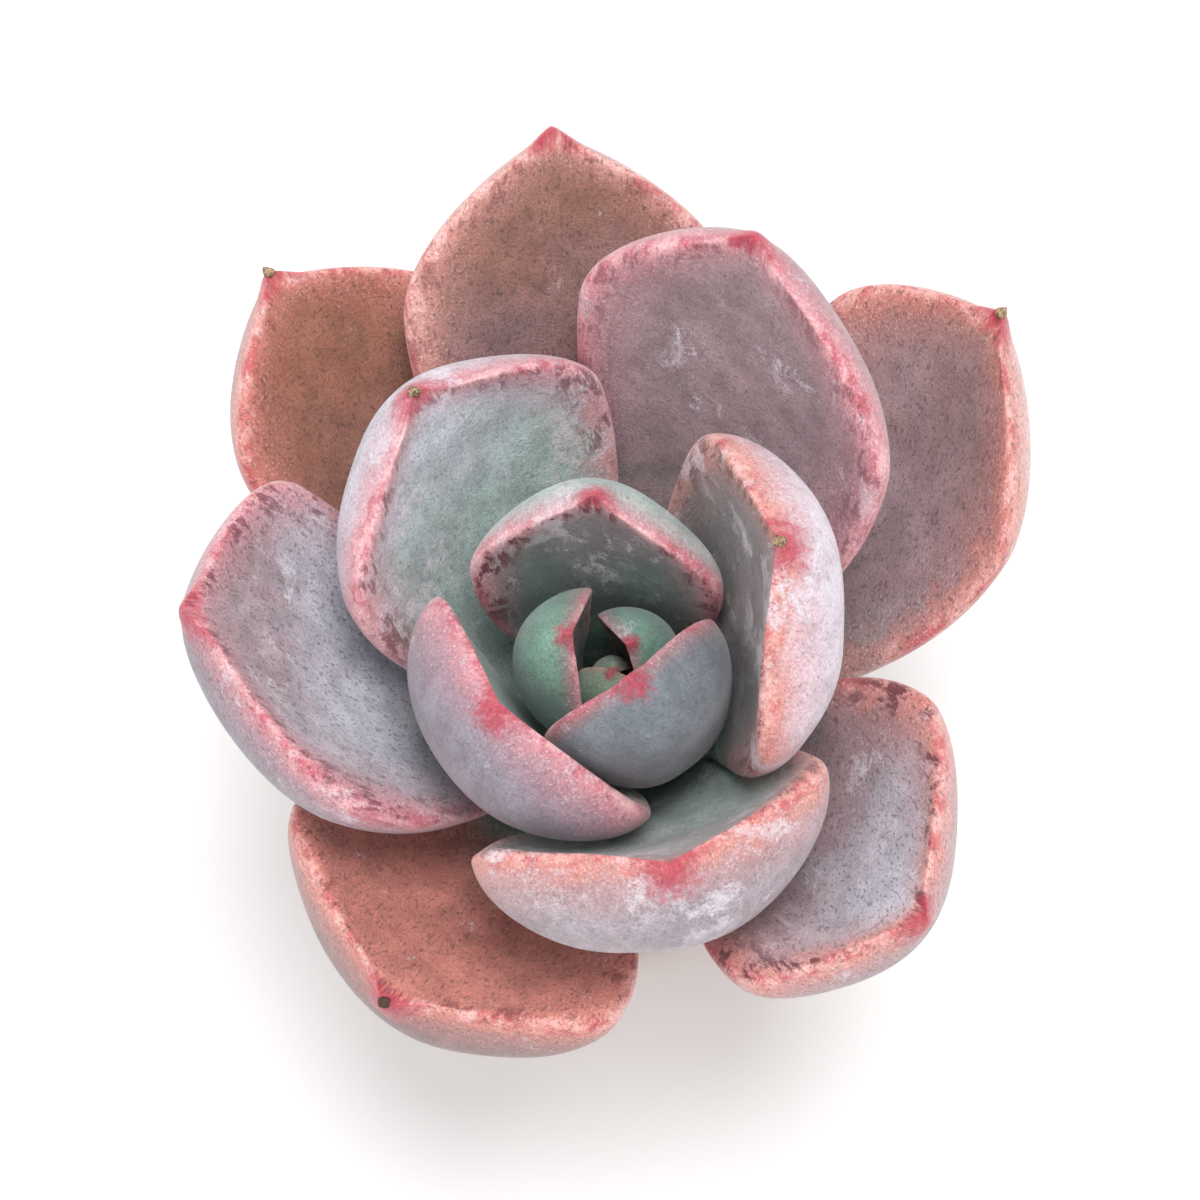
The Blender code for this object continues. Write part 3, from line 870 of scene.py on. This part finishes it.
def reshape(mesh, rule):
    """Moves a mesh's vertices: rule takes and returns an array of places."""
    places = np.empty(len(mesh.vertices) * 3)
    mesh.vertices.foreach_get("co", places)
    set_places(mesh, rule(places.reshape(-1, 3)))


def inner_radius(height):
    return mix(BASE_RADIUS - WALL, RIM_RADIUS - WALL, (height - FLOOR) / (POT_HEIGHT - FLOOR))


def pot_outline():
    collar_foot = POT_HEIGHT - COLLAR_HEIGHT
    return rounded_outline([
        (0.0, FLOOR, 0.0),
        (inner_radius(FLOOR), FLOOR, FOOT_ROUND),
        (inner_radius(POT_HEIGHT), POT_HEIGHT, RIM_ROUND),
        (RIM_RADIUS, POT_HEIGHT, RIM_ROUND),
        (RIM_RADIUS - COLLAR_DRAFT, collar_foot, RIM_ROUND / 2),
        (RIM_RADIUS - COLLAR_DRAFT - COLLAR_STEP, collar_foot - RIM_ROUND / 2, RIM_ROUND / 3),
        (BASE_RADIUS, 0.0, FOOT_ROUND),
        (0.0, 0.0, 0.0),
    ])


def pot_mesh(settings):
    mesh = turned_mesh("clay_pot_wall", divided(pot_outline(), 0.8 * MM), settings.turn_steps)

    def turn_lines(places):
        radius = np.hypot(places[:, 0], places[:, 1])
        bearing = np.arctan2(places[:, 1], places[:, 0])
        height = places[:, 2]
        rng = random.Random(7)
        waves = swell(rng, height / MM, bearing * 0.5, 6, 0.8, 3.2)
        upright = share(height / (2 * MM)) * share((radius - 10 * MM) / (4 * MM))
        factor = 1.0 - settings.waver * (waves + 1.0) * upright / np.maximum(radius, MM)
        return places * np.stack([factor, factor, np.ones_like(factor)], axis=-1)

    reshape(mesh, turn_lines)
    return mesh


def drill(piece):
    """Cuts the drainage holes through the pot's floor."""
    cutters = []
    for index in range(DRAIN_COUNT):
        bearing = math.radians(90.0 + 360.0 * index / DRAIN_COUNT)
        shape = bmesh.new()
        bmesh.ops.create_cone(
            shape, cap_ends=True, segments=40, radius1=DRAIN_RADIUS, radius2=DRAIN_RADIUS, depth=FLOOR * 3,
        )
        place = Vector((DRAIN_CIRCLE * math.cos(bearing), DRAIN_CIRCLE * math.sin(bearing), FLOOR / 2))
        bmesh.ops.translate(shape, verts=shape.verts, vec=place)
        mesh = bpy.data.meshes.new("drain_cut")
        shape.to_mesh(mesh)
        shape.free()
        cutter = bpy.data.objects.new("drain_cut", mesh)
        bpy.context.scene.collection.objects.link(cutter)
        cut = piece.modifiers.new("drain", "BOOLEAN")
        cut.operation = "DIFFERENCE"
        cut.solver = "EXACT"
        cut.object = cutter
        cutters.append(cutter)
    evaluated = piece.evaluated_get(bpy.context.evaluated_depsgraph_get())
    finished = bpy.data.meshes.new_from_object(evaluated)
    piece.modifiers.clear()
    piece.data = finished
    finished.set_sharp_from_angle(angle=math.radians(50.0))
    for cutter in cutters:
        bpy.data.objects.remove(cutter, do_unlink=True)


def soil_mesh(settings):
    pocket = STEM_RADIUS + GAP
    edge = inner_radius(SOIL_EDGE) - GAP
    outline = [Vector((0.0, STEM_ROOT - GAP)), Vector((pocket, STEM_ROOT - GAP))]
    for ring in range(SOIL_RINGS + 1):
        outward = ring / SOIL_RINGS
        height = SOIL_EDGE + SOIL_RISE * math.cos(math.pi / 2 * outward)
        outline.append(Vector((mix(pocket, edge, outward), height)))
    bottom = FLOOR + GAP
    outline += rounded_outline([
        (edge, SOIL_EDGE, 0.0),
        (inner_radius(bottom) - GAP, bottom, FOOT_ROUND + GAP),
        (0.0, bottom, 0.0),
    ])[1:]
    mesh = turned_mesh("compost_bed_lump", divided(outline, 0.5 * MM), SOIL_STEPS)

    def crumble(places):
        rng = random.Random(11)
        coarse = swell(rng, places[:, 0] / MM, places[:, 1] / MM, 9, 0.9, 2.4)
        fine = swell(rng, places[:, 0] / MM, places[:, 1] / MM, 12, 2.6, 6.0)
        top = share((places[:, 2] - SOIL_EDGE + 1.0 * MM) / (1.0 * MM))
        places[:, 2] += settings.roughness * top * (0.7 * coarse + 0.5 * fine)
        return places

    reshape(mesh, crumble)
    return mesh


def grit_mesh(settings):
    """Loose stones bedded in the top of the compost, joined in one mesh."""
    rng = random.Random(23)
    shape = bmesh.new()
    layer = shape.verts.layers.float.new("stone")
    inner = STEM_RADIUS + 0.8 * MM
    outer = inner_radius(SOIL_EDGE) - 1.2 * MM
    for _ in range(settings.grit_count):
        bearing = rng.uniform(0.0, math.tau)
        radius = math.sqrt(rng.uniform(inner ** 2, outer ** 2))
        outward = (radius - inner) / (outer - inner)
        size = settings.grit_size * rng.uniform(0.35, 1.0)
        height = SOIL_EDGE + SOIL_RISE * math.cos(math.pi / 2 * outward) + size * 0.25
        stone = bmesh.ops.create_icosphere(shape, subdivisions=2, radius=size)["verts"]
        squash = Vector([rng.uniform(0.7, 1.2) for _ in range(3)])
        tone = rng.random()
        facets = [Vector([rng.gauss(0.0, 1.0) for _ in range(3)]).normalized() for _ in range(5)]
        for vertex in stone:
            direction = vertex.co.normalized()
            cut = max(direction.dot(facet) for facet in facets)
            place = direction * size * (1.0 - 0.28 * max(cut - 0.55, 0.0) / 0.45)
            vertex.co = Vector([a * b for a, b in zip(place, squash)])
            vertex[layer] = tone
        bmesh.ops.translate(
            shape, verts=stone, vec=(radius * math.cos(bearing), radius * math.sin(bearing), height),
        )
    mesh = bpy.data.meshes.new("pumice_grit_stones")
    shape.to_mesh(mesh)
    shape.free()
    return mesh


def stem_mesh():
    outline = []
    tip = CROWN_HEIGHT + STEM_TIP_ABOVE_CROWN
    steps = 60
    for step in range(steps + 1):
        height = mix(tip, STEM_ROOT, (step / steps) ** 1.2)
        above = max(height - CROWN_HEIGHT, 0.0)
        outline.append(Vector((STEM_RADIUS * (1.0 - above / STEM_TIP_ABOVE_CROWN) ** 0.9, height)))
    outline.append(Vector((0.0, STEM_ROOT)))
    mesh = turned_mesh("stem_core", outline, STEM_STEPS)

    def scar(places):
        """Shallow crescents where old leaves have dropped, in the leaves' own spiral."""
        bearing = np.arctan2(places[:, 1], places[:, 0])
        height = (places[:, 2] - STEM_ROOT) / MM
        dent = np.zeros_like(height)
        for index in range(SCAR_COUNT):
            turn = math.radians(FIRST_BEARING - GOLDEN_TURN * (index + 1))
            apart = (bearing - turn + math.pi) % math.tau - math.pi
            rise = height - SCAR_TOP + SCAR_PITCH * index
            dent = np.maximum(dent, np.exp(-(apart / SCAR_HALF_WIDTH) ** 2 - rise ** 2))
        above = places[:, 2] > CROWN_HEIGHT
        factor = 1.0 - np.where(above, 0.02, SCAR_DEPTH * dent)
        return places * np.stack([factor, factor, np.ones_like(factor)], axis=-1)

    reshape(mesh, scar)
    return mesh


# --- operators -------------------------------------------------------------------------

class SUCCULENT_OT_pot(bpy.types.Operator):
    """Turn the clay pot and drill its drainage holes"""
    bl_idname = "succulent.make_pot"
    bl_label = "Clay pot"

    def execute(self, context):
        settings = context.scene.succulent_pot
        piece = add_piece("clay_pot", pot_mesh(settings), clay_material(settings), "pot")
        drill(piece)
        return {"FINISHED"}


class SUCCULENT_OT_soil(bpy.types.Operator):
    """Fill the pot with compost and bed grit in its top"""
    bl_idname = "succulent.make_soil"
    bl_label = "Compost and grit"

    def execute(self, context):
        settings = context.scene.succulent_soil
        add_piece("compost_bed", soil_mesh(settings), earth_material(settings), "soil")
        add_piece("pumice_grit", grit_mesh(settings), grit_material())
        return {"FINISHED"}


class SUCCULENT_OT_stem(bpy.types.Operator):
    """Grow the short stem with its leaf scars"""
    bl_idname = "succulent.make_stem"
    bl_label = "Stem"

    def execute(self, context):
        add_piece("stem_core", stem_mesh(), stem_material(), "stem")
        return {"FINISHED"}


class SUCCULENT_OT_leaves(bpy.types.Operator):
    """Grow the spiral of leaves, oldest first"""
    bl_idname = "succulent.make_leaves"
    bl_label = "Leaves"

    def execute(self, context):
        settings = context.scene.succulent_rosette
        for index in range(LEAF_COUNT):
            node = f"leaf_{index + 1:02d}"
            mesh = leaf_mesh(index, settings)
            add_piece(f"{node}_blade", mesh, leaf_material(index), node)
        return {"FINISHED"}


class SUCCULENT_OT_dried_tips(bpy.types.Operator):
    """Cap the older leaves' points with withered husks"""
    bl_idname = "succulent.make_dried_tips"
    bl_label = "Withered points"

    def execute(self, context):
        settings = context.scene.succulent_rosette
        tan = dried_tip_material("withered_point", TAN_HUSK)
        black = dried_tip_material("black_point", BLACK_HUSK)
        for number in DRIED_TIPS:
            mesh = dried_tip_mesh(number - 1, settings)
            material = black if number == BLACK_TIP else tan
            add_piece(f"withered_point_{number:02d}", mesh, material)
        return {"FINISHED"}


class SUCCULENT_OT_stage(bpy.types.Operator):
    """Lay the floor, hang the soft lights and set the camera"""
    bl_idname = "succulent.make_stage"
    bl_label = "Stage"

    def execute(self, context):
        scene = context.scene
        settings = scene.succulent_stage
        make_floor(settings)
        make_lights(scene)
        make_camera(scene, settings)
        scene.view_settings.view_transform = "Standard"
        return {"FINISHED"}


def make_floor(settings):
    shape = bmesh.new()
    bmesh.ops.create_grid(shape, x_segments=1, y_segments=1, size=FLOOR_HALF_WIDTH)
    mesh = bpy.data.meshes.new("floor_sheet")
    shape.to_mesh(mesh)
    shape.free()
    material, sheet, shader = new_material("pale_floor")
    shader.inputs["Base Color"].default_value = rgba(settings.floor)
    shader.inputs["Roughness"].default_value = 0.9
    mesh.materials.append(material)
    floor = bpy.data.objects.new("floor", mesh)
    bpy.context.scene.collection.objects.link(floor)


def aim(obj, place, target):
    obj.location = place
    obj.rotation_euler = (Vector(target) - Vector(place)).to_track_quat("-Z", "Y").to_euler()


def make_lights(scene):
    world = bpy.data.worlds.new("soft_room")
    world.use_nodes = True
    background = world.node_tree.nodes["Background"]
    background.inputs["Color"].default_value = (1.0, 1.0, 1.0, 1.0)
    background.inputs["Strength"].default_value = WORLD_STRENGTH
    scene.world = world
    heart = Vector((0.0, 0.0, CROWN_HEIGHT))
    panels = (
        ("key_panel", Vector((0.08, 0.14, 1.00)), 0.42, 6.8),
        ("side_panel", Vector((-0.85, 0.15, 0.55)), 0.6, 1.2),
        ("front_panel", Vector((0.35, -0.90, 0.60)), 0.7, 0.8),
    )
    for name, place, size, power in panels:
        light = bpy.data.lights.new(name, "AREA")
        light.shape = "DISK"
        light.size = size
        light.energy = power
        panel = bpy.data.objects.new(name, light)
        scene.collection.objects.link(panel)
        aim(panel, heart + place, heart)


def make_camera(scene, settings):
    camera_data = bpy.data.cameras.new("studio_camera")
    camera_data.sensor_width = SENSOR_WIDTH
    camera_data.lens = settings.focal_length
    camera = bpy.data.objects.new("studio_camera", camera_data)
    scene.collection.objects.link(camera)
    target = Vector(CAMERA_TARGET)
    back = Vector((0.0, -math.cos(settings.elevation), math.sin(settings.elevation)))
    aim(camera, target + back * settings.distance, target)
    scene.camera = camera


class SUCCULENT_PT_panel(bpy.types.Panel):
    """Lists the succulent's pieces in the order in which they are made"""
    bl_idname = "SUCCULENT_PT_panel"
    bl_label = "Potted Succulent"
    bl_space_type = "VIEW_3D"
    bl_region_type = "UI"
    bl_category = "Succulent"

    def draw(self, context):
        layout = self.layout
        for maker, group in MAKERS:
            box = layout.box()
            box.operator(maker.bl_idname)
            if group:
                settings = getattr(context.scene, group)
                for name in settings.__annotations__:
                    box.prop(settings, name)


MAKERS = (
    (SUCCULENT_OT_pot, "succulent_pot"),
    (SUCCULENT_OT_soil, "succulent_soil"),
    (SUCCULENT_OT_stem, None),
    (SUCCULENT_OT_leaves, "succulent_rosette"),
    (SUCCULENT_OT_dried_tips, None),
    (SUCCULENT_OT_stage, "succulent_stage"),
)
GROUPS = dict(
    succulent_pot=PotSettings,
    succulent_soil=SoilSettings,
    succulent_rosette=RosetteSettings,
    succulent_stage=StageSettings,
)


def register():
    for name, group in GROUPS.items():
        bpy.utils.register_class(group)
        setattr(bpy.types.Scene, name, PointerProperty(type=group))
    for maker, _ in MAKERS:
        bpy.utils.register_class(maker)
    bpy.utils.register_class(SUCCULENT_PT_panel)


def unregister():
    bpy.utils.unregister_class(SUCCULENT_PT_panel)
    for maker, _ in reversed(MAKERS):
        bpy.utils.unregister_class(maker)
    for name, group in GROUPS.items():
        delattr(bpy.types.Scene, name)
        bpy.utils.unregister_class(group)


def main():
    register()
    bpy.ops.succulent.make_pot()
    bpy.ops.succulent.make_soil()
    bpy.ops.succulent.make_stem()
    bpy.ops.succulent.make_leaves()
    bpy.ops.succulent.make_dried_tips()
    bpy.ops.succulent.make_stage()


if __name__ == "__main__":
    main()
